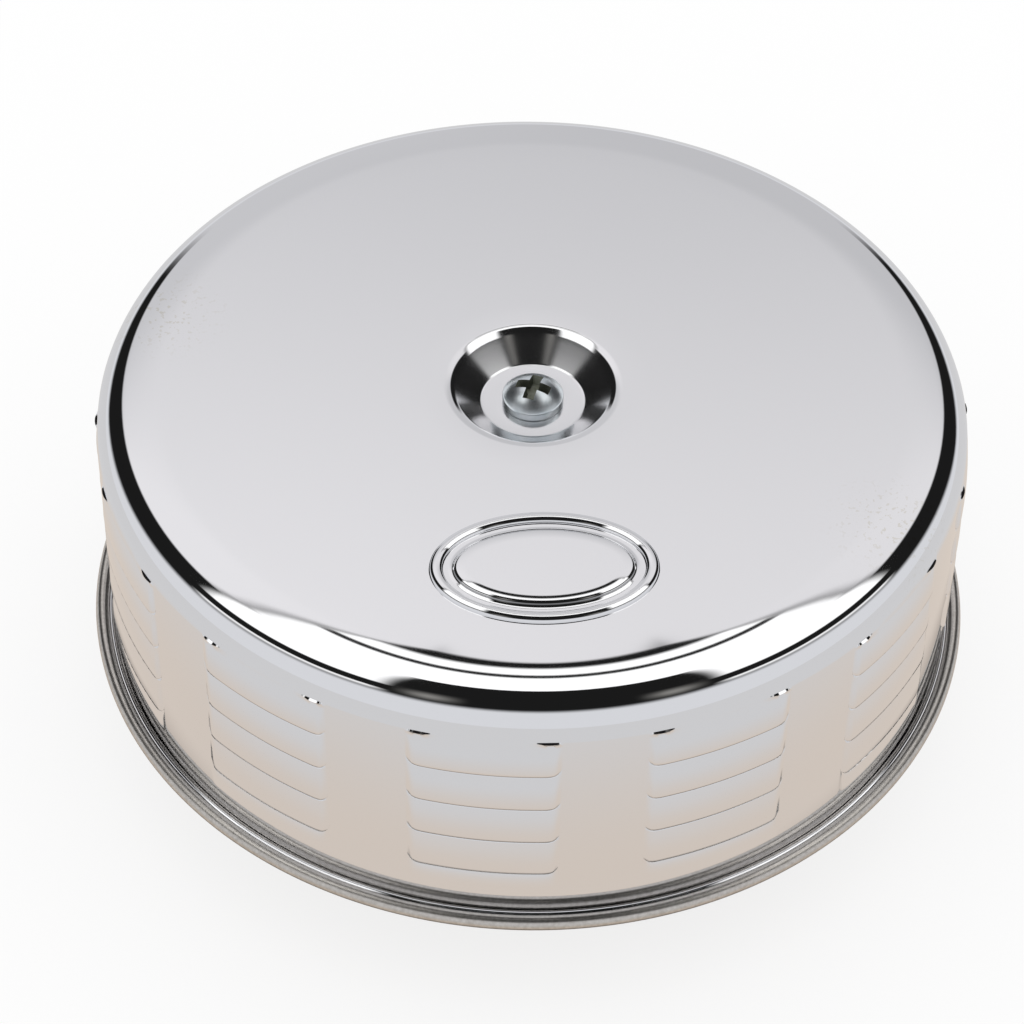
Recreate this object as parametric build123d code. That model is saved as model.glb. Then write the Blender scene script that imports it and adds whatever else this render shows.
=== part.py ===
from build123d import *

import os
from math import acos, asin, atan2, ceil, cos, degrees, pi, radians, sin, tan

# Round louvred air cleaner for a small carburettor, in millimetres, +Z up.
# The origin is the centre of the neck's lower mouth. The raised oval on the lid is towards -Y.

# Overall sizes
rim_diameter = 162.0
body_height = 53.5  # underside of the rolled rim to the top of the lid
neck_length = 20.0  # how far the neck stands below the rolled rim
bend_sag = 0.1  # bends are turned as short flats that leave the true arc by no more than this

# Base pan: pressed sheet with a rolled edge, and a raised middle that centres the filter
pan_sheet = 0.9
bead_diameter = 2.6
bead_turn = 270.0
step_height = 1.5
step_run = 1.5
step_clearance = 0.6

# Cover: drawn sheet with a flared foot that stands on the pan inside the rolled edge
cover_sheet = 0.7
shoulder_radius = 6.5
foot_flare = 0.6
rim_gap = 0.15

# Dish in the middle of the lid
dish_radius = 14.7
dish_depth = 4.0
dish_slope = 40.0  # steepness of its wall, in degrees
dish_lip_radius = 5.0
dish_heel_radius = 1.0

# Louvres, in upright stacks round the wall
louvre_stacks = 12
louvre_rows = 4
louvre_width = 26.4
louvre_corner = 2.5
louvre_inner_cut = 0.8  # cut across an inner corner, as a share of its radius
louvre_pad_out = 0.2  # the flat pad that a stack is pressed in stands this proud at its middle
louvre_pad_slope = 45.0  # slope of the pad's top back into the wall, in degrees
louvre_lip_out = 0.9  # lip from the pad
louvre_spacing = 0.8  # strip of pad left between one lip and the next hood
louvre_foot_margin = 11.7  # cover's foot to the lowest lip
louvre_top_margin = 0.4  # top of the highest hood to the shoulder
louvre_top_extra = 0.8  # the highest hood is taller by this
louvre_turn = -8.4  # first stack from the oval, seen from above, in degrees

# Raised oval on the lid
oval_length = 39.0
oval_width = 25.6
oval_place = 44.9  # its centre from the axis
oval_border = 2.4
oval_groove = 1.5
oval_border_height = 0.9
oval_pad_height = 0.6
oval_wall = 0.5  # sheet left in the sides of the pressing

# Cover screw
screw_diameter = 6.0
screw_head_diameter = 10.9
screw_head_rim = 1.5
screw_head_height = 3.9
screw_hole_clearance = 0.3
screw_tip = 2.0  # thread showing past the nut
cross_length = 5.8
cross_width = 1.5
cross_depth = 2.0

# Neck over the carburettor's horn
neck_bore = 52.4
neck_sheet = 1.2
neck_bend = 0.8
neck_flange_width = 10.6
neck_slots = 4
neck_slot_width = 2.0
neck_slot_height = 13.0
neck_hole_clearance = 0.1

# Clamp band round the neck
band_sheet = 0.9
band_height = 10.0
band_mouth_margin = 2.5
band_gap = 7.0
band_ear = 12.0
band_fit = 0.05

# Clamp screw and nut
clamp_screw_place = 6.6  # screw's axis from the band's outer face
clamp_screw_diameter = 5.0
clamp_hole_clearance = 0.2
clamp_head_diameter = 9.0
clamp_head_height = 3.3
clamp_head_round = 1.2
clamp_nut_flats = 8.0
clamp_nut_height = 4.0
clamp_screw_tip = 2.0
thread_fit = 0.05

# Bridge across the neck that takes the cover screw
bridge_width = 14.0
bridge_sheet = 1.6
bridge_rise = 12.0
bridge_bend = 2.4
bridge_foot = 8.0
bridge_leg_clearance = 1.4
bridge_nut_side = 10.0
bridge_nut_height = 5.0

# Filter element
element_wall_gap = 9.0
ring_width = 18.0
ring_height = 6.0
ring_lip = 2.0
screen_sheet = 0.5
screen_windows = 12
screen_web = 6.0
pleat_count = 60
pleat_fit = 0.1
paper_sheet = 0.45

# Heights
rim_z = neck_length
pan_top = rim_z + pan_sheet
lid_top = rim_z + body_height
lid_under = lid_top - cover_sheet
foot_z = pan_top
dish_floor = lid_top - dish_depth
flange_top = pan_top + step_height + neck_sheet
bridge_under = flange_top + bridge_rise - bridge_sheet

# Radii
rim_radius = rim_diameter / 2
bead_radius = bead_diameter / 2
foot_radius = rim_radius - bead_diameter - rim_gap
wall_radius = foot_radius - foot_flare
louvre_pad_x = wall_radius + louvre_pad_out
louvre_root = wall_radius - louvre_width / 4
neck_radius = neck_bore / 2
neck_outer = neck_radius + neck_sheet
pan_hole = neck_outer + neck_bend + neck_hole_clearance
band_inner = neck_outer + band_fit
band_outer = band_inner + band_sheet
ring_outer = wall_radius - cover_sheet - element_wall_gap
ring_inner = ring_outer - ring_width
step_radius = ring_inner - step_clearance
outer_screen_inner = ring_outer - ring_lip - screen_sheet
inner_screen_inner = ring_inner + ring_lip


def turned(outline):
    # Solid of revolution from a closed outline of (radius, height) points
    return revolve(Plane.XZ * make_face(Polyline(*outline, close=True)), axis=Axis.Z)


def bend(centre, radius, start, end):
    # Points round a bend, from one angle to another about its centre
    flat = 2 * degrees(acos(1 - min(bend_sag / radius, 1)))
    count = ceil(abs(end - start) / flat)
    angles = [radians(start + (end - start) * step / count) for step in range(count + 1)]
    return [(centre[0] + radius * cos(angle), centre[1] + radius * sin(angle)) for angle in angles]


def can(inset):
    # Solid inside the cover sheet's outer skin, or inside its inner skin with inset set to the sheet
    slope = radians(dish_slope)
    lip = (dish_radius, lid_top - dish_lip_radius)
    drop = dish_depth - (dish_lip_radius + dish_heel_radius) * (1 - cos(slope))
    run = (dish_lip_radius + dish_heel_radius) * sin(slope) + drop / tan(slope)
    heel = (dish_radius - run, dish_floor + dish_heel_radius)
    shoulder = (wall_radius - shoulder_radius, lid_top - shoulder_radius)
    flare = (foot_radius, foot_z + cover_sheet + foot_flare)
    return turned(
        [
            (0, foot_z - inset),
            (0, dish_floor - inset),
            *bend(heel, dish_heel_radius + inset, 270, 270 + dish_slope),
            *bend(lip, dish_lip_radius - inset, 90 + dish_slope, 90),
            *bend(shoulder, shoulder_radius - inset, 90, 0),
            *bend(flare, foot_flare + inset, 180, 270),
            (foot_radius, foot_z - inset),
        ]
    )


def slab(outline, width):
    # Block on the +X side from a side view of (radius, height) points, as wide as given
    return extrude(Plane.XZ * make_face(Polyline(*outline, close=True)), amount=width / 2, both=True)


def lower_corners(block):
    return block.edges().filter_by(Axis.X).group_by(Axis.Z)[0]


def louvre_pad(low, high, inset):
    # Flat pad that carries a stack of hoods, sloped back into the wall at its top
    face = louvre_pad_x - inset
    crease = high - inset * tan(radians(louvre_pad_slope / 2))
    back = crease + (face - louvre_root) / tan(radians(louvre_pad_slope))
    outline = [(louvre_root, low + inset), (face, low + inset), (face, crease), (louvre_root, back)]
    return slab(outline, louvre_width - 2 * inset)


def hood(lip_z, top_z, inset, bottom, width):
    # One louvre's flat hood, leaning out from the pad to its lip
    face = louvre_pad_x - inset
    lean = louvre_lip_out * (top_z - bottom) / (top_z - lip_z)
    outline = [(louvre_root, bottom), (face + lean, bottom), (face, top_z), (louvre_root, top_z)]
    return slab(outline, width)


def louvre_stack(inset):
    # One stack of louvres towards +X: its outer skin, or with inset set to the sheet its inside and slits
    low = foot_z + louvre_foot_margin
    high = lid_top - shoulder_radius - louvre_top_margin
    pitch = (high - low - louvre_top_extra + louvre_spacing) / louvre_rows
    blocks, slits = [louvre_pad(low, high, inset)], []
    for row in range(louvre_rows):
        lip_z = low + row * pitch
        top_z = high if row == louvre_rows - 1 else lip_z + pitch - louvre_spacing
        blocks.append(hood(lip_z, top_z, inset, lip_z + inset, louvre_width - 2 * inset))
        slits.append(hood(lip_z, top_z, inset, lip_z, louvre_width - 2 * louvre_corner))
    corner = louvre_corner - inset
    if inset:
        return Part() + [chamfer(lower_corners(block), corner * louvre_inner_cut) for block in blocks] + slits
    return Part() + [fillet(lower_corners(block), corner) for block in blocks]


def all_round(block):
    # A stack repeated round the wall
    turns = [louvre_turn - 90 + stack * 360 / louvre_stacks for stack in range(louvre_stacks)]
    return [Rot(0, 0, turn) * block for turn in turns]


def oval_block(margin, low, high):
    # Upright oval block at the raised oval's place
    place = Pos(0, -oval_place, low)
    return place * extrude(Ellipse(oval_length / 2 - margin, oval_width / 2 - margin), high - low)


def oval(base, side):
    # Raised border and pad: the outer skin with side 0, the inner skin with side set to the sides' sheet
    border = base + oval_border_height
    pad = base + oval_pad_height
    root = base - cover_sheet / 2
    ring = oval_block(side, root, border) - oval_block(oval_border - side, root, border)
    return [ring, oval_block(oval_border + oval_groove + side, root, pad)]


def cover():
    hole = Cylinder(screw_diameter / 2 + screw_hole_clearance, 2 * dish_depth)
    skin = can(0) + all_round(louvre_stack(0)) + oval(lid_top, 0)
    inside = [can(cover_sheet), *all_round(louvre_stack(cover_sheet)), *oval(lid_under, oval_wall)]
    return skin - inside - Pos(0, 0, dish_floor) * hole


def cover_screw():
    radius = screw_diameter / 2
    head = screw_head_diameter / 2
    top = dish_floor + screw_head_height
    tip = bridge_under - bridge_nut_height - screw_tip
    rise = screw_head_height - screw_head_rim
    crown = (head**2 + rise**2) / (2 * rise)
    edge = degrees(asin((crown - rise) / crown))
    dome = bend((0, top - crown), crown, edge, 90)
    body = turned([(0, tip), (radius, tip), (radius, dish_floor), (head, dish_floor), *dome])
    slot = Pos(0, 0, top) * Box(cross_length, cross_width, 2 * cross_depth)
    return body - [slot, Rot(0, 0, 90) * slot]


def base_pan():
    curl = (rim_radius - bead_radius, rim_z + bead_radius)
    return turned(
        [
            (pan_hole, rim_z + step_height),
            (step_radius - step_run, rim_z + step_height),
            (step_radius, rim_z),
            *bend(curl, bead_radius, -90, bead_turn - 90),
            *bend(curl, bead_radius - pan_sheet, bead_turn - 90, -90),
            (step_radius, pan_top),
            (step_radius - step_run, pan_top + step_height),
            (pan_hole, pan_top + step_height),
        ]
    )


def neck():
    fold = (neck_outer + neck_bend, flange_top - neck_sheet - neck_bend)
    flange_radius = neck_outer + neck_flange_width
    tube = turned(
        [
            (neck_radius, 0),
            *bend(fold, neck_bend + neck_sheet, 180, 90),
            (flange_radius, flange_top),
            (flange_radius, flange_top - neck_sheet),
            *bend(fold, neck_bend, 90, 180),
            (neck_outer, 0),
        ]
    )
    reach = Pos(neck_outer, 0, 0)
    slot_end = neck_slot_height - neck_slot_width / 2
    straight = reach * Box(neck_outer, neck_slot_width, 2 * slot_end)
    end = reach * Pos(0, 0, slot_end) * Rot(0, 90, 0) * Cylinder(neck_slot_width / 2, neck_outer)
    turns = [Rot(0, 0, (slot + 0.5) * 360 / neck_slots) for slot in range(neck_slots)]
    return tube - [turn * cut for turn in turns for cut in (straight, end)]


def clamp_band():
    ear_end = band_outer + band_ear
    ring = Circle(band_outer) - Circle(band_inner)
    ear_place = Pos((band_gap + band_sheet) / 2, (band_inner + ear_end) / 2)
    ear = ear_place * Rectangle(band_sheet, ear_end - band_inner)
    mouth = Pos(0, ear_end / 2) * Rectangle(band_gap, ear_end)
    outline = ring + ear + mirror(ear, about=Plane.YZ) - Circle(band_inner) - mouth
    hole = Cylinder(clamp_screw_diameter / 2 + clamp_hole_clearance, 2 * band_gap)
    return Pos(0, 0, band_mouth_margin) * extrude(outline, band_height) - clamp_axis() * hole


def clamp_axis():
    # Place of the clamp screw: through the ears, along +X
    return Pos(0, band_outer + clamp_screw_place, band_mouth_margin + band_height / 2) * Rot(0, 90, 0)


def clamp_screw():
    radius = clamp_screw_diameter / 2
    head = clamp_head_diameter / 2
    seat = -band_gap / 2 - band_sheet
    tip = -seat + clamp_nut_height + clamp_screw_tip
    top = seat - clamp_head_height
    corner = bend((head - clamp_head_round, top + clamp_head_round), clamp_head_round, 0, -90)
    outline = [(0, tip), (radius, tip), (radius, seat), (head, seat), *corner, (0, top)]
    driver = Pos(0, 0, top) * Box(clamp_head_diameter, cross_width, cross_depth)
    return clamp_axis() * (turned(outline) - driver)


def clamp_nut():
    seat = band_gap / 2 + band_sheet
    hexagon = RegularPolygon(clamp_nut_flats / 2, 6, major_radius=False)
    outline = hexagon - Circle(clamp_screw_diameter / 2 + thread_fit)
    return clamp_axis() * Pos(0, 0, seat) * extrude(outline, clamp_nut_height)


def bridge():
    low = flange_top + bridge_sheet / 2
    high = bridge_under + bridge_sheet / 2
    leg = neck_outer + bridge_leg_clearance
    foot = leg + bridge_foot
    corners = [(-foot, low), (-leg, low), (-leg, high), (leg, high), (leg, low), (foot, low)]
    path = Plane.XZ * FilletPolyline(*corners, radius=bridge_bend)
    section = Plane(path @ 0, x_dir=(0, 1, 0), z_dir=path % 0) * Rectangle(bridge_width, bridge_sheet)
    hole = Cylinder(screw_diameter / 2 + screw_hole_clearance, 2 * bridge_sheet)
    return sweep(section, path) - Pos(0, 0, high) * hole


def bridge_nut():
    square = Rectangle(bridge_nut_side, bridge_nut_side) - Circle(screw_diameter / 2 + thread_fit)
    return Pos(0, 0, bridge_under - bridge_nut_height) * extrude(square, bridge_nut_height)


def end_ring(low):
    # Moulded end of the filter
    return Pos(0, 0, low) * extrude(Circle(ring_outer) - Circle(ring_inner), ring_height)


def between_rings(outline):
    # What stands between the two end rings, bonded to both
    low = pan_top + ring_height
    return Pos(0, 0, low) * extrude(outline, lid_under - ring_height - low)


def screen(inner):
    # Open sleeve that backs the paper
    sleeve = between_rings(Circle(inner + screen_sheet) - Circle(inner))
    middle = (pan_top + lid_under) / 2
    window_width = 2 * pi * inner / screen_windows - screen_web
    window_height = lid_under - pan_top - 2 * ring_height - 2 * screen_web
    window = Pos(inner, 0, middle) * Box(inner, window_width, window_height)
    return sleeve - [Rot(0, 0, column * 360 / screen_windows) * window for column in range(screen_windows)]


def star(tip, valley):
    # Zigzag outline of the folded paper
    half = pi / pleat_count
    radii = [tip, valley] * pleat_count
    points = [(radius * cos(step * half), radius * sin(step * half)) for step, radius in enumerate(radii)]
    return make_face(Polyline(*points, close=True))


def pleated_paper():
    tip = outer_screen_inner - pleat_fit
    valley = inner_screen_inner + screen_sheet + pleat_fit
    flank = atan2((tip + valley) / 2 * pi / pleat_count, tip - valley)
    step = paper_sheet / sin(flank)
    return between_rings(star(tip, valley + step) - star(tip - step, valley))


parts = {
    "cover": cover(),
    "cover_screw": cover_screw(),
    "base_pan": base_pan(),
    "neck": neck(),
    "clamp_band": clamp_band(),
    "clamp_screw": clamp_screw(),
    "clamp_nut": clamp_nut(),
    "bridge": bridge(),
    "bridge_nut": bridge_nut(),
    "pleated_paper": pleated_paper(),
    "outer_screen": screen(outer_screen_inner),
    "inner_screen": screen(inner_screen_inner),
    "upper_end_ring": end_ring(lid_under - ring_height),
    "lower_end_ring": end_ring(pan_top),
}

os.makedirs("parts", exist_ok=True)
for name, solid in parts.items():
    export_step(solid, f"parts/{name}.step")
    print(name, round(solid.volume), "mm3")
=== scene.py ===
import math

import bmesh
import bpy
from mathutils import Matrix, Vector


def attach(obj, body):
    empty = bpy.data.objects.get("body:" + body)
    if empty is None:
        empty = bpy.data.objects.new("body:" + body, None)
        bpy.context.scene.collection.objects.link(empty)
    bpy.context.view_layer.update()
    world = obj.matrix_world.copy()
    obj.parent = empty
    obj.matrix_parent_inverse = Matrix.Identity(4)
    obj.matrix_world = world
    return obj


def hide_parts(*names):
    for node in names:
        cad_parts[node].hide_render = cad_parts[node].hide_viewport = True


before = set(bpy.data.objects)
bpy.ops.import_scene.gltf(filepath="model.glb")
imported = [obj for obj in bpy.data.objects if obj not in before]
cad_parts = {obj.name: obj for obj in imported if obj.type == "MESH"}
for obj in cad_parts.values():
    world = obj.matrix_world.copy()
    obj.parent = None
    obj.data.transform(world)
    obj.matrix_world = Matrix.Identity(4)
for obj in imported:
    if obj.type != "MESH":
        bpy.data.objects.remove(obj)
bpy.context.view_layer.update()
scene = bpy.context.scene
mm = 0.001  # pieces are measured in millimetres


def newObject(name, bm, materials):
    mesh = bpy.data.meshes.new(name)
    bm.to_mesh(mesh)
    bm.free()
    piece = bpy.data.objects.new(name, mesh)
    scene.collection.objects.link(piece)
    for material in materials:
        mesh.materials.append(material)
    return piece


def smoothByAngle(bm, degrees):
    limit = math.radians(degrees)
    for face in bm.faces:
        face.smooth = True
    for edge in bm.edges:
        if len(edge.link_faces) == 2:
            edge.smooth = edge.calc_face_angle(0.0) < limit


def arc(centre, radius, start, end, count):
    angles = [math.radians(start + (end - start) * part / count) for part in range(count + 1)]
    return [(centre[0] + radius * math.cos(a), centre[1] + radius * math.sin(a)) for a in angles]


def along(here, there, share):  # the point that lies a share of the way to another
    return tuple(a + (b - a) * share for a, b in zip(here, there))


def spun(outline, steps, closed):  # turns an outline of (radius, height) about the axis
    bm = bmesh.new()
    verts = [bm.verts.new((radius * mm, 0.0, height * mm)) for radius, height in outline]
    ends = list(zip(verts, verts[1:] + verts[:1])) if closed else list(zip(verts, verts[1:]))
    edges = [bm.edges.new(pair) for pair in ends]
    bmesh.ops.spin(
        bm, geom=verts + edges, cent=(0, 0, 0), axis=(0, 0, 1), dvec=(0, 0, 0),
        angle=math.tau, steps=steps, use_merge=True, use_duplicate=False,
    )
    bmesh.ops.remove_doubles(bm, verts=bm.verts, dist=1e-7)
    bmesh.ops.recalc_face_normals(bm, faces=bm.faces)
    return bm


# Shader helpers: each adds a node to a material's tree and gives back its result
def shader(name):
    material = bpy.data.materials.new(name)
    material.use_nodes = True
    tree = material.node_tree
    return material, tree, tree.nodes["Principled BSDF"]


def noise(tree, scale, detail):
    coords = tree.nodes.new("ShaderNodeTexCoord")
    mapping = tree.nodes.new("ShaderNodeMapping")
    texture = tree.nodes.new("ShaderNodeTexNoise")
    texture.inputs["Scale"].default_value = scale
    texture.inputs["Detail"].default_value = detail
    tree.links.new(coords.outputs["Object"], mapping.inputs["Vector"])
    tree.links.new(mapping.outputs["Vector"], texture.inputs["Vector"])
    return texture.outputs["Fac"]


def ramp(tree, source, stops):
    node = tree.nodes.new("ShaderNodeValToRGB")
    for element, (place, colour) in zip(node.color_ramp.elements, stops):
        element.position = place
        element.color = (*colour, 1.0)
    tree.links.new(source, node.inputs["Fac"])
    return node.outputs["Color"]


def calc(tree, operation, first, second=None):
    node = tree.nodes.new("ShaderNodeMath")
    node.operation = operation
    for socket, value in zip(node.inputs, (first, second)):
        if value is None:
            continue
        if isinstance(value, (int, float)):
            socket.default_value = value
        else:
            tree.links.new(value, socket)
    return node.outputs[0]


def distanceTo(tree, place):
    coords = tree.nodes.new("ShaderNodeTexCoord")
    node = tree.nodes.new("ShaderNodeVectorMath")
    node.operation = "DISTANCE"
    node.inputs[1].default_value = place
    tree.links.new(coords.outputs["Object"], node.inputs[0])
    return node.outputs["Value"]


def fade(tree, source, ends):  # 0 up to the first end, 1 past the second, soft between
    node = tree.nodes.new("ShaderNodeMapRange")
    node.interpolation_type = "SMOOTHSTEP"
    node.inputs["From Min"].default_value = ends[0]
    node.inputs["From Max"].default_value = ends[1]
    tree.links.new(source, node.inputs["Value"])
    return node.outputs["Result"]


def band(tree, source, limits):  # 1 from low to high, soft at both ends
    low, high, soft = limits
    rising = fade(tree, source, (low - soft, low + soft))
    falling = fade(tree, source, (high + soft, high - soft))
    return calc(tree, "MULTIPLY", rising, falling)


def blendColour(tree, share, under, above):
    node = tree.nodes.new("ShaderNodeMix")
    node.data_type = "RGBA"
    tree.links.new(share, node.inputs["Factor"])
    for socket, value in ((node.inputs[6], under), (node.inputs[7], above)):  # the colour sockets A and B
        if isinstance(value, tuple):
            socket.default_value = (*value, 1.0)
        else:
            tree.links.new(value, socket)
    return node.outputs[2]


# Chrome of the cover: bright plate, faint tarnish specks in two places near the lid's edge
chromeLook = {
    "colour": (0.86, 0.86, 0.87), "roughness": 0.035, "tarnish": (0.76, 0.74, 0.69),
    "places": ((-0.066, 0.020, 0.0735), (0.060, -0.036, 0.0735)), "reach": 0.015,
    "grain": 1100, "grainDetail": 5, "speckFade": (0.585, 0.635),
    "dish": (0.0, 0.0, 0.0715), "dishFade": (0.016, 0.013), "dishRough": 0.11,  # the deep draw is less bright
}


def makeChrome(look):
    material, tree, bsdf = shader("chrome")
    bsdf.inputs["Metallic"].default_value = 1.0
    spots = [fade(tree, distanceTo(tree, place), (look["reach"], 0.0)) for place in look["places"]]
    specks = fade(tree, noise(tree, look["grain"], look["grainDetail"]), look["speckFade"])
    share = calc(tree, "MULTIPLY", specks, calc(tree, "MAXIMUM", *spots))
    colour = blendColour(tree, share, look["colour"], look["tarnish"])
    tree.links.new(colour, bsdf.inputs["Base Color"])
    dished = fade(tree, distanceTo(tree, look["dish"]), look["dishFade"])
    rougher = calc(tree, "MULTIPLY", dished, look["dishRough"])
    tree.links.new(calc(tree, "ADD", rougher, look["roughness"]), bsdf.inputs["Roughness"])
    return material


# Other finishes: a colour that wanders between two, and a fine grit where the finish has one
wander = {"detail": 3, "low": 0.3, "high": 0.7}
rimChromeLook = {
    "metallic": 1.0, "roughness": 0.3, "grain": 1500,
    "darker": (0.53, 0.5, 0.46), "lighter": (0.67, 0.64, 0.6),
    "grit": {"scale": 2400, "detail": 2, "depth": 0.00002, "strength": 0.25},
}
zincLook = {
    "metallic": 1.0, "roughness": 0.3, "grain": 600,
    "darker": (0.66, 0.72, 0.75), "lighter": (0.82, 0.86, 0.88),
}
# painted shade: the screw's cross recess is coloured near-black for the shadow inside it
recessShadeLook = {
    "metallic": 1.0, "roughness": 0.5, "grain": 900,
    "darker": (0.15, 0.16, 0.12), "lighter": (0.25, 0.26, 0.22),
}
zincSheetLook = {
    "metallic": 1.0, "roughness": 0.3, "grain": 160,
    "darker": (0.52, 0.54, 0.55), "lighter": (0.66, 0.68, 0.7),
}
screenLook = {
    "metallic": 1.0, "roughness": 0.35, "grain": 300,
    "darker": (0.44, 0.45, 0.46), "lighter": (0.56, 0.57, 0.58),
}
paperLook = {
    "metallic": 0.0, "roughness": 0.85, "grain": 700,
    "darker": (0.74, 0.65, 0.45), "lighter": (0.85, 0.77, 0.58),
    "grit": {"scale": 1800, "detail": 3, "depth": 0.00005, "strength": 0.4},
}
rubberLook = {
    "metallic": 0.0, "roughness": 0.7, "grain": 500,
    "darker": (0.05, 0.05, 0.055), "lighter": (0.075, 0.075, 0.08),
    "grit": {"scale": 1500, "detail": 2, "depth": 0.00004, "strength": 0.3},
}


def addGrit(tree, bsdf, grit):
    node = tree.nodes.new("ShaderNodeBump")
    node.inputs["Strength"].default_value = grit["strength"]
    node.inputs["Distance"].default_value = grit["depth"]
    tree.links.new(noise(tree, grit["scale"], grit["detail"]), node.inputs["Height"])
    tree.links.new(node.outputs["Normal"], bsdf.inputs["Normal"])


def mottled(name, look):
    material, tree, bsdf = shader(name)
    bsdf.inputs["Metallic"].default_value = look["metallic"]
    bsdf.inputs["Roughness"].default_value = look["roughness"]
    stops = [(wander["low"], look["darker"]), (wander["high"], look["lighter"])]
    colour = ramp(tree, noise(tree, look["grain"], wander["detail"]), stops)
    tree.links.new(colour, bsdf.inputs["Base Color"])
    if "grit" in look:
        addGrit(tree, bsdf, look["grit"])
    return material


chrome = makeChrome(chromeLook)
rimChrome = mottled("rim_chrome", rimChromeLook)
zinc = mottled("zinc", zincLook)
recess = mottled("screw_recess_painted_shade", recessShadeLook)
zincSheet = mottled("zinc_sheet", zincSheetLook)
screenSteel = mottled("screen_steel", screenLook)
paper = mottled("filter_paper", paperLook)
rubber = mottled("seal_rubber", rubberLook)
looks = {  # the solids that are shown as they are
    "neck": zincSheet, "clamp_band": zincSheet, "clamp_screw": zinc, "clamp_nut": zinc, "bridge": zincSheet,
    "bridge_nut": zinc, "pleated_paper": paper, "outer_screen": screenSteel, "inner_screen": screenSteel,
    "upper_end_ring": rubber, "lower_end_ring": rubber,
}
for node, material in looks.items():
    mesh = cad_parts[node].data
    mesh.materials.clear()
    mesh.materials.append(material)
print("materials made")


# Cover: one skin of rows and columns, pressed out at the louvres, then given its thickness
cover = {
    "lidZ": 73.5, "footZ": 20.9, "sheet": 0.7, "sharp": 32.0,
    "hole": 3.3, "floorRows": (5.0, 6.4), "dish": 16.0, "dishDepth": 4.0, "dishSlope": 36.0,
    "lip": 3.6, "lipSteps": 12, "heel": 1.0, "heelSteps": 5,  # the dish's upper and lower bends
    "lidShares": (0.1, 0.3, 0.5, 0.7, 0.9),
    "softStart": 65.8, "softTilt": 8.0, "softSteps": 8,  # the lid eases over before the shoulder
    "shoulder": 6.5, "shoulderEnd": 17.0, "shoulderSteps": 20,
    "wall": 77.65, "footRows": (27.0, 24.0), "foot": 78.25, "flare": 0.6, "flareSteps": 6, "footTuck": 0.001,
}
louvres = {
    "stacks": 12, "turn": -98.4, "halfWidth": 13.2, "corner": 2.5, "slack": 0.01,
    "columns": (0, 2.2, 4.4, 6.6, 8.8, 10.1, 10.7, 11.4, 12.0, 12.5, 12.85, 13.08),  # from a stack's middle
    "plainColumns": (0.24, 0.7, 1.9, 3.4),  # degrees past a stack's edge
    "rows": 4, "lowLip": 32.6, "pitch": 8.5, "strip": 0.8, "crease": 66.2, "creaseUp": 0.2, "lowRow": 2.2,
    "hoodShares": (0.0, 0.08, 0.17, 0.3, 0.45, 0.62, 0.8, 0.92, 1.0),
    "lipOut": 0.5, "edgeEase": 1.3, "swell": 2.0, "lipEdge": 0.2, "lipTurn": 0.65,
    "slit": 1.2, "slitDrop": 0.04,
    "nip": 0.45, "nipPlace": 10.9, "nipReach": 2.3,  # small press marks at the crease's ends
}


def coverOutline():  # rows of (radius, height) from the screw hole over the shoulder, and its centre's height
    lidZ, dish, softStart = cover["lidZ"], cover["dish"], cover["softStart"]
    slope = math.radians(cover["dishSlope"])
    bends = cover["lip"] + cover["heel"]
    drop = cover["dishDepth"] - bends * (1 - math.cos(slope))
    run = bends * math.sin(slope) + drop / math.tan(slope)
    floorZ = lidZ - cover["dishDepth"]
    tilt = math.radians(cover["softTilt"])
    soft = (cover["wall"] - softStart - cover["shoulder"] * (1 - math.sin(tilt))) / math.sin(tilt)
    easeZ = lidZ - soft
    bendX = softStart + (soft - cover["shoulder"]) * math.sin(tilt)
    bendZ = easeZ + (soft - cover["shoulder"]) * math.cos(tilt)
    softEnd = 90 - cover["softTilt"]
    rows = [(radius, floorZ) for radius in (cover["hole"], *cover["floorRows"])]
    heel = (dish - run, floorZ + cover["heel"])
    rows += arc(heel, cover["heel"], 270, 270 + cover["dishSlope"], cover["heelSteps"])
    rows += arc((dish, lidZ - cover["lip"]), cover["lip"], 90 + cover["dishSlope"], 90, cover["lipSteps"])
    rows += [(dish + (softStart - dish) * share, lidZ) for share in cover["lidShares"]]
    rows += arc((softStart, easeZ), soft, 90, softEnd, cover["softSteps"])
    shoulder = arc((bendX, bendZ), cover["shoulder"], softEnd, cover["shoulderEnd"], cover["shoulderSteps"])
    return rows + shoulder[1:], bendZ


def coverColumns():  # (angle, place across the stack, whether inside it) for one stack
    halfWidth = louvres["halfWidth"]
    half = [(y / cover["wall"], y, True) for y in (*louvres["columns"], halfWidth)]
    edge = half[-1][0]
    right = half + [(edge + math.radians(past), halfWidth, False) for past in louvres["plainColumns"]]
    left = [(-angle, y, inner) for angle, y, inner in reversed(right) if angle > 0]
    return [(-math.pi / louvres["stacks"], halfWidth, False)] + left + right


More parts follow.
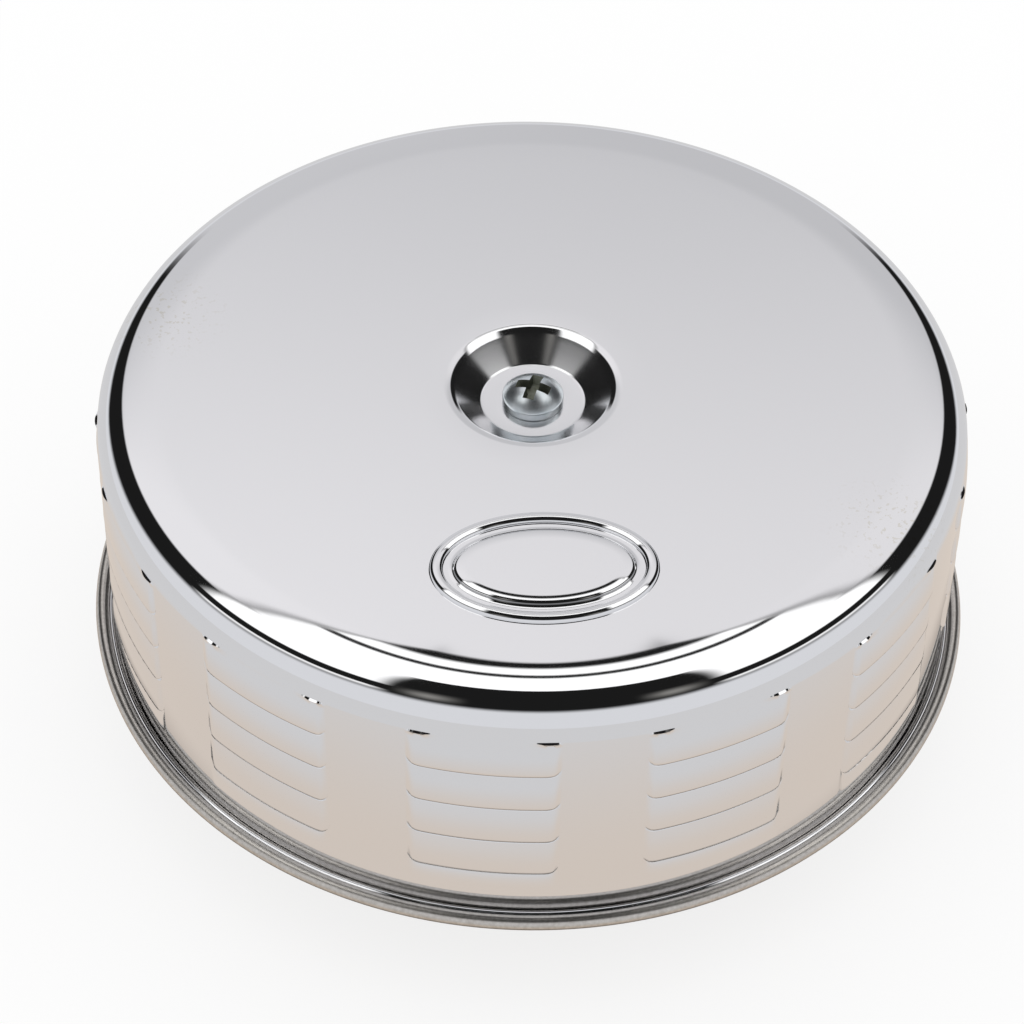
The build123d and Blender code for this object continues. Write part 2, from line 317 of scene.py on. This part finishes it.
def louvreRows(y, inner, bendZ):  # wall rows of one column, from under the shoulder to the foot
    wall, crease = cover["wall"], louvres["crease"]
    halfWidth, corner = louvres["halfWidth"], louvres["corner"]
    beyond = max(0.0, y - (halfWidth - corner))
    rise = corner - math.sqrt(max(0.0, corner ** 2 - beyond ** 2))  # lips turn up at a stack's sides
    ease = min(1.0, (halfWidth - y) / louvres["edgeEase"])
    proud = louvres["lipOut"] * ease * ease * (3 - 2 * ease) if inner else 0.0
    away = (y - louvres["nipPlace"]) / louvres["nipReach"]
    nip = max(0.0, 1 - away ** 2) * louvres["nip"] if inner else 0.0
    top = crease + louvres["creaseUp"]
    rows = [(wall - max(0.0, top - bendZ) ** 2 / (2 * cover["shoulder"]), top), (wall + nip, crease)]
    for row in reversed(range(louvres["rows"])):
        upper = row == louvres["rows"] - 1
        lip = louvres["lowLip"] + row * louvres["pitch"] + rise
        start = crease if upper else lip + louvres["pitch"] - louvres["strip"]
        for share in louvres["hoodShares"]:
            if share > 0 or not upper:
                out = proud * math.sin(louvres["swell"] * share)
                rows.append((wall + out, start + (lip - start) * share))
        under = lip - louvres["lipEdge"]
        rows.append((wall + proud * louvres["lipTurn"], under))
        rows.append((wall - proud * louvres["slit"], under - louvres["slitDrop"]))
    rows.append((wall, louvres["lowLip"] + rise - louvres["lowRow"]))
    rows += [(wall, height) for height in cover["footRows"]]
    flareZ = cover["footZ"] + cover["sheet"] + cover["flare"]
    rows += arc((cover["foot"], flareZ), cover["flare"], 180, 270, cover["flareSteps"])
    rows.append((cover["foot"] - cover["footTuck"], cover["footZ"] + cover["sheet"] * 0.5))
    return rows


def makeCover():
    bm = bmesh.new()
    plainRows, bendZ = coverOutline()
    slitEnd = louvres["halfWidth"] - louvres["corner"] + louvres["slack"]
    grid = []
    slit = []
    for stack in range(louvres["stacks"]):
        middle = math.radians(louvres["turn"] + stack * 360 / louvres["stacks"])
        for angle, y, inner in coverColumns():
            across = math.cos(middle + angle)
            deep = math.sin(middle + angle)
            rows = plainRows + louvreRows(y, inner, bendZ)
            grid.append([bm.verts.new((r * across * mm, r * deep * mm, z * mm)) for r, z in rows])
            slit.append(inner and y <= slitEnd)
    hoodRows = len(louvres["hoodShares"])
    firstLip = len(plainRows) + hoodRows + 1
    lips = {firstLip + row * (hoodRows + 2) for row in range(louvres["rows"])}
    for column, here in enumerate(grid):
        after = (column + 1) % len(grid)
        there = grid[after]
        openHere = slit[column] and slit[after]
        for row in range(len(here) - 1):
            if not (openHere and row in lips):  # the strip under a lip is the air slit
                bm.faces.new((here[row], here[row + 1], there[row + 1], there[row]))
    bmesh.ops.recalc_face_normals(bm, faces=bm.faces)
    bmesh.ops.solidify(bm, geom=bm.faces[:], thickness=cover["sheet"] * mm)
    smoothByAngle(bm, cover["sharp"])
    return bm


coverPiece = newObject("cover_skin", makeCover(), [chrome])
print("cover made", len(coverPiece.data.polygons))


# Raised oval on the lid: a round border, a groove and a plain pad
oval = {
    "long": 19.5, "wide": 12.8, "place": 44.9, "steps": 144, "sink": 0.05, "sharp": 40.0,
    "border": 2.4, "borderUp": 0.86, "borderPower": 0.8, "borderSteps": 12,
    "groove": 1.5, "grooveSide": 0.04, "grooveFloor": 0.03,
    "padUp": 0.6, "padBend": 0.9, "padSteps": 6, "padRows": (2.5, 5.0),
}


def ovalProfile():  # (inset from the edge, height over the lid) from the edge to the pad
    border = oval["border"]
    half = border / 2
    padEdge = border + oval["groove"]
    profile = [(-oval["sink"], -oval["sink"])]
    for part in range(1, oval["borderSteps"]):
        a = math.pi * part / oval["borderSteps"]
        profile.append((half - half * math.cos(a), oval["borderUp"] * math.sin(a) ** oval["borderPower"]))
    profile.append((border, oval["grooveSide"]))
    profile.append((border + oval["groove"] * 0.5, oval["grooveFloor"]))
    profile.append((padEdge, oval["grooveSide"]))
    for part in range(1, oval["padSteps"] + 1):
        share = part / oval["padSteps"]
        profile.append((padEdge + oval["padBend"] * share, oval["padUp"] * math.sin(math.pi / 2 * share)))
    return profile + [(padEdge + inset, oval["padUp"]) for inset in oval["padRows"]]


def makeOval(lidZ):
    bm = bmesh.new()
    rings = []
    for inset, up in ovalProfile():
        ring = []
        for spot in range(oval["steps"]):
            a = math.tau * spot / oval["steps"]
            x = (oval["long"] - inset) * math.cos(a)
            y = (oval["wide"] - inset) * math.sin(a) - oval["place"]
            ring.append(bm.verts.new((x * mm, y * mm, (lidZ + up) * mm)))
        rings.append(ring)
    for outer, inner in zip(rings, rings[1:]):
        for spot in range(oval["steps"]):
            after = (spot + 1) % oval["steps"]
            bm.faces.new((outer[spot], outer[after], inner[after], inner[spot]))
    bm.faces.new(rings[-1])
    bm.faces.new(list(reversed(rings[0])))
    bmesh.ops.recalc_face_normals(bm, faces=bm.faces)
    smoothByAngle(bm, oval["sharp"])
    return bm


ovalPiece = newObject("cover_oval", makeOval(cover["lidZ"]), [chrome])
print("oval made")


# Base pan with its rolled edge
pan = {
    "rimZ": 20.0, "sheet": 0.9, "hole": 28.3, "stepUp": 1.5, "stepIn": 47.85, "stepOut": 49.35,
    "flatRows": (60.0, 72.0), "rim": 81.0, "bead": 1.3, "turn": 270.0, "beadSteps": 20, "curlSteps": 10,
    "steps": 360, "sharp": 35.0,
}


def makePan():
    under = pan["rimZ"]
    upper = under + pan["sheet"]
    curl = (pan["rim"] - pan["bead"], under + pan["bead"])
    curlEnd = pan["turn"] - 90
    outline = [(pan["hole"], under + pan["stepUp"]), (pan["stepIn"], under + pan["stepUp"])]
    outline += [(radius, under) for radius in (pan["stepOut"], *pan["flatRows"])]
    outline += arc(curl, pan["bead"], -90, curlEnd, pan["beadSteps"])
    outline += arc(curl, pan["bead"] - pan["sheet"], curlEnd, -90, pan["curlSteps"])
    outline += [(radius, upper) for radius in (*reversed(pan["flatRows"]), pan["stepOut"])]
    outline += [(pan["stepIn"], upper + pan["stepUp"]), (pan["hole"], upper + pan["stepUp"])]
    bm = spun(outline, pan["steps"], True)
    smoothByAngle(bm, pan["sharp"])
    return bm


panPiece = newObject("base_pan_pressed", makePan(), [rimChrome])
print("pan made")


# Cover screw: domed head with a cross recess, and a threaded shank
screw = {
    "floorZ": 69.5, "head": 5.45, "edge": 1.5, "height": 3.9, "turn": -20.0, "count": 96, "sharp": 38.0,
    "underIn": 0.25, "underUp": 0.2, "edgeDown": 0.15, "domeFrom": 0.995,
    "domeShares": (0.0, 0.06, 0.2, 0.4, 0.6, 0.8, 1.0),  # from the head's edge to the cross
    "arm": 3.1, "armWidth": 1.0, "recess": ((0.93, 0.9), (0.7, 2.0)),  # (share of the cross, depth)
    "shank": 3.0, "shankUp": 0.05, "shankSteps": 40, "tipZ": 27.0, "tipIn": 0.5, "plainTip": 1.5,
    "thread": 0.45, "threadFrom": 46.0, "threadPitch": 1.0, "threadRoot": 0.45, "threadTop": 0.9,
}


def crossLoop(arm, width, count):  # points round a cross, the same number on each of its 12 sides
    corners = []
    for quarter in range(4):
        a = quarter * math.pi / 2
        for x, y in ((width, -width), (arm, -width), (arm, width)):
            corners.append((x * math.cos(a) - y * math.sin(a), x * math.sin(a) + y * math.cos(a)))
    perSide = count // len(corners)
    points = []
    for here, there in zip(corners, corners[1:] + corners[:1]):
        points += [along(here, there, spot / perSide) for spot in range(perSide)]
    return points


def screwHead():
    floorZ, head, count = screw["floorZ"], screw["head"], screw["count"]
    topZ = floorZ + screw["height"]
    rise = screw["height"] - screw["edge"]
    crown = (head ** 2 + rise ** 2) / (2 * rise)  # radius of the dome
    domeZ = topZ - crown
    cross = crossLoop(screw["arm"], screw["armWidth"], count)
    phase = math.atan2(cross[0][1], cross[0][0])
    angles = [phase + math.tau * spot / count for spot in range(count)]
    circle = [(math.cos(a), math.sin(a)) for a in angles]
    turn = Matrix.Rotation(math.radians(screw["turn"]), 4, "Z")
    bm = bmesh.new()
    loops = []

    def addLoop(points, heights):
        places = [turn @ Vector((x * mm, y * mm, z * mm)) for (x, y), z in zip(points, heights)]
        loops.append([bm.verts.new(place) for place in places])

    edgeUp = screw["edge"] - screw["edgeDown"]
    for radius, up in ((head - screw["underIn"], 0.0), (head, screw["underUp"]), (head, edgeUp)):
        addLoop([(radius * x, radius * y) for x, y in circle], [floorZ + up] * count)
    domeEdge = [(head * screw["domeFrom"] * x, head * screw["domeFrom"] * y) for x, y in circle]
    for share in screw["domeShares"]:
        points = [along(here, there, share) for here, there in zip(domeEdge, cross)]
        addLoop(points, [domeZ + math.sqrt(crown ** 2 - x * x - y * y) for x, y in points])
    for share, depth in screw["recess"]:
        addLoop([(x * share, y * share) for x, y in cross], [topZ - depth] * count)
    recessFrom = len(loops) - 1 - len(screw["recess"])
    # the recess walls and floor take the dark material, painted shade
    for level, (outer, inner) in enumerate(zip(loops, loops[1:])):
        for spot in range(count):
            after = (spot + 1) % count
            face = bm.faces.new((outer[spot], outer[after], inner[after], inner[spot]))
            face.material_index = 1 if level >= recessFrom else 0
    bm.faces.new(loops[-1]).material_index = 1
    bm.faces.new(list(reversed(loops[0])))
    return bm


def screwShank():
    radius, pitch, tipZ = screw["shank"], screw["threadPitch"], screw["tipZ"]
    topZ = screw["floorZ"] + screw["shankUp"]
    height = screw["threadFrom"]
    outline = [(0.0, topZ), (radius, topZ), (radius, height)]
    while height > tipZ + screw["plainTip"]:
        outline.append((radius - screw["thread"], height - pitch * screw["threadRoot"]))
        outline.append((radius, height - pitch * screw["threadTop"]))
        height -= pitch
        outline.append((radius, height))
    outline += [(radius - screw["tipIn"], tipZ), (0.0, tipZ)]
    return spun(outline, screw["shankSteps"], False)


def makeScrew():
    bm = screwHead()
    shank = screwShank()
    mesh = bpy.data.meshes.new("shank")
    shank.to_mesh(mesh)
    shank.free()
    bm.from_mesh(mesh)
    bpy.data.meshes.remove(mesh)
    bmesh.ops.recalc_face_normals(bm, faces=bm.faces)
    smoothByAngle(bm, screw["sharp"])
    return bm


# the second material paints shade into the cross recess
screwPiece = newObject("cover_screw_zinc", makeScrew(), [zinc, recess])
print("screw made")

for piece, node, slot in (
    (coverPiece, "cover", "chrome"), (ovalPiece, "cover", "chrome"),
    (panPiece, "base_pan", "rim_chrome"), (screwPiece, "cover_screw", "zinc"),
):
    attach(piece, "root")
    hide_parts(node)


# Studio: a dome that only reflections show, a floor that the camera sees as white, and an even white world
def emission(name):
    material = bpy.data.materials.new(name)
    material.use_nodes = True
    tree = material.node_tree
    tree.nodes.clear()
    output = tree.nodes.new("ShaderNodeOutputMaterial")
    glow = tree.nodes.new("ShaderNodeEmission")
    tree.links.new(glow.outputs[0], output.inputs["Surface"])
    return material, tree, glow


studio = {  # tilt and turn, in degrees, are those of the metal that mirrors a place towards the main view
    "radius": 3.0, "segments": 64, "rings": 32, "eye": (-0.045, -0.665, 0.745),
    "dark": (0.012, 0.012, 0.012), "bright": (1.25, 1.25, 1.25),
    "low": (0.76, 0.77, 0.8), "lamp": (0.4, 0.39, 0.37),
    "backNear": (0.9, 0.89, 0.91), "backFar": (0.64, 0.64, 0.66), "rightDim": (0.93, 0.93, 0.93),
    "darkFade": (45.0, 39.0), "floorFade": (0.2, 0.06),  # pairs are the ends of a fade
    "sideTurn": (24.0, 54.0, 2.0), "sideTilt": (7.0, 40.0, 2.0),  # threes are a band's low, high and softness
    "dishTilt": (31.0, 38.0, 0.8), "lampTilt": (31.0, 37.0, 4.0), "lampTurn": (15.0, 19.0, 4.0),
    "boxTilt": (3.4, 11.0, 0.4), "boxFade": (56.0, 52.0), "seamTilt": (5.2, 6.0, 0.2),
    "nearFade": (36.0, 51.0), "rightFade": (-0.12, 0.14), "behindFade": (0.0, 0.2),
    "lidFade": (2.1, 1.5), "edgeTurnFade": (52.0, 60.0), "edgeTiltFade": (20.0, 17.0),
    "backFade": (116.0, 128.0),
}


def vectorCalc(tree, operation, first, second=None):
    node = tree.nodes.new("ShaderNodeVectorMath")
    node.operation = operation
    tree.links.new(first, node.inputs[0])
    if second is not None:
        node.inputs[1].default_value = second
    return node.outputs["Vector"]


def axesOf(tree, source):
    node = tree.nodes.new("ShaderNodeSeparateXYZ")
    tree.links.new(source, node.inputs[0])
    return node.outputs


def degreesOf(tree, operation, first, second=None):
    return calc(tree, "MULTIPLY", calc(tree, operation, first, second), 180 / math.pi)


def domeColour(tree):  # painted from the lowest layer to the top one
    def both(first, second):
        return calc(tree, "MULTIPLY", first, second)

    coords = tree.nodes.new("ShaderNodeTexCoord")
    unit = vectorCalc(tree, "NORMALIZE", coords.outputs["Object"])
    x, y, z = axesOf(tree, unit)
    mirror = vectorCalc(tree, "NORMALIZE", vectorCalc(tree, "ADD", unit, studio["eye"]))
    mirrorX, mirrorY, mirrorZ = axesOf(tree, mirror)
    tilt = degreesOf(tree, "ARCCOSINE", mirrorZ)
    turn = degreesOf(tree, "ARCTAN2", calc(tree, "ABSOLUTE", mirrorX), calc(tree, "MULTIPLY", mirrorY, -1.0))
    height = degreesOf(tree, "ARCTAN2", z, y)

    colour = blendColour(tree, fade(tree, tilt, studio["darkFade"]), studio["low"], studio["dark"])
    side = both(band(tree, turn, studio["sideTurn"]), band(tree, tilt, studio["sideTilt"]))
    colour = blendColour(tree, side, colour, studio["bright"])
    colour = blendColour(tree, band(tree, tilt, studio["dishTilt"]), colour, studio["dark"])
    lamps = both(band(tree, tilt, studio["lampTilt"]), band(tree, turn, studio["lampTurn"]))
    colour = blendColour(tree, lamps, colour, studio["lamp"])
    box = both(band(tree, tilt, studio["boxTilt"]), fade(tree, turn, studio["boxFade"]))
    colour = blendColour(tree, box, colour, studio["bright"])
    seam = both(box, band(tree, tilt, studio["seamTilt"]))
    colour = blendColour(tree, seam, colour, studio["dark"])

    backing = blendColour(tree, fade(tree, height, studio["nearFade"]), studio["backFar"], studio["backNear"])
    right = both(fade(tree, x, studio["rightFade"]), fade(tree, y, studio["behindFade"]))
    backing = blendColour(tree, right, backing, vectorCalc(tree, "MULTIPLY", backing, studio["rightDim"]))
    lid = fade(tree, tilt, studio["lidFade"])
    edge = both(fade(tree, turn, studio["edgeTurnFade"]), fade(tree, tilt, studio["edgeTiltFade"]))
    back = fade(tree, turn, studio["backFade"])
    backed = calc(tree, "MAXIMUM", calc(tree, "MAXIMUM", lid, edge), back)
    colour = blendColour(tree, backed, colour, backing)
    return blendColour(tree, fade(tree, z, studio["floorFade"]), colour, studio["low"])


def makeDome():
    material, tree, glow = emission("studio_dome")
    tree.links.new(domeColour(tree), glow.inputs["Color"])
    bm = bmesh.new()
    bmesh.ops.create_uvsphere(
        bm, u_segments=studio["segments"], v_segments=studio["rings"], radius=studio["radius"],
    )
    dome = newObject("studio_dome", bm, [material])
    dome.visible_camera = False
    dome.visible_diffuse = False
    dome.visible_shadow = False
    return dome


ground = {
    "half": 2.9, "white": (1.0, 1.0, 1.0), "shadow": 0.22,  # how much of a shadow the camera sees
    "near": (0.71, 0.63, 0.56), "far": (0.69, 0.69, 0.70), "farFade": (0.102, 0.152),  # as the metal shows it
    # painted shadow: the floor close round the cleaner is dark brown where the metal mirrors it, a contact
    # shadow painted into its colour
    "under": (0.2, 0.17, 0.15), "paintedShadowFade": (0.098, 0.08),
}


def makeFloor():
    material, tree, glow = emission("studio_floor")
    away = distanceTo(tree, (0.0, 0.0, 0.0))
    shown = blendColour(tree, fade(tree, away, ground["farFade"]), ground["near"], ground["far"])
    # paints a shadow into the floor near the cleaner, which only the metal shows
    shown = blendColour(tree, fade(tree, away, ground["paintedShadowFade"]), shown, ground["under"])
    path = tree.nodes.new("ShaderNodeLightPath")
    toCamera = path.outputs["Is Camera Ray"]
    tree.links.new(blendColour(tree, toCamera, shown, ground["white"]), glow.inputs["Color"])
    matt = tree.nodes.new("ShaderNodeBsdfDiffuse")
    matt.inputs["Color"].default_value = (*ground["white"], 1.0)
    mixed = tree.nodes.new("ShaderNodeMixShader")
    tree.links.new(calc(tree, "MULTIPLY", toCamera, ground["shadow"]), mixed.inputs["Fac"])
    tree.links.new(glow.outputs[0], mixed.inputs[1])
    tree.links.new(matt.outputs[0], mixed.inputs[2])
    tree.links.new(mixed.outputs[0], tree.nodes["Material Output"].inputs["Surface"])
    bm = bmesh.new()
    bmesh.ops.create_grid(bm, x_segments=1, y_segments=1, size=ground["half"])
    return newObject("studio_floor", bm, [material])


dome = makeDome()
floor = makeFloor()
world = bpy.data.worlds.new("world")
scene.world = world
world.use_nodes = True
world.node_tree.nodes["Background"].inputs["Color"].default_value = (1.0, 1.0, 1.0, 1.0)
world.node_tree.nodes["Background"].inputs["Strength"].default_value = 1.0
scene.view_settings.view_transform = "Standard"
print("studio made")


# Camera: looks down at the cleaner from the front, a little to one side
view = {
    "lens": 123.8152, "sensor": 36.0, "near": 0.01, "distance": 663.502, "rise": 46.9146, "roll": 1.0099,
    "azimuth": -3.34, "target": (-3.3574, 0.0, 20.8818), "baseZ": 20.0,
}


def makeCamera():
    rise = math.radians(view["rise"])
    place = Vector((0.0, -math.cos(rise), math.sin(rise))) * view["distance"]
    forward = (Vector(view["target"]) - place).normalized()
    right = forward.cross(Vector((0, 0, 1))).normalized()
    up = right.cross(forward)
    roll = math.radians(view["roll"])
    across = right * math.cos(roll) + up * math.sin(roll)
    above = up * math.cos(roll) - right * math.sin(roll)
    axes = Matrix((across, above, -forward)).transposed().to_4x4()
    place = (place + Vector((0, 0, view["baseZ"]))) * mm
    turn = Matrix.Rotation(math.radians(view["azimuth"]), 4, "Z")
    data = bpy.data.cameras.new("camera")
    data.lens = view["lens"]
    data.sensor_width = view["sensor"]
    data.clip_start = view["near"]
    camera = bpy.data.objects.new("camera", data)
    camera.matrix_world = turn @ Matrix.Translation(place) @ axes
    scene.collection.objects.link(camera)
    scene.camera = camera


makeCamera()
print("camera set")
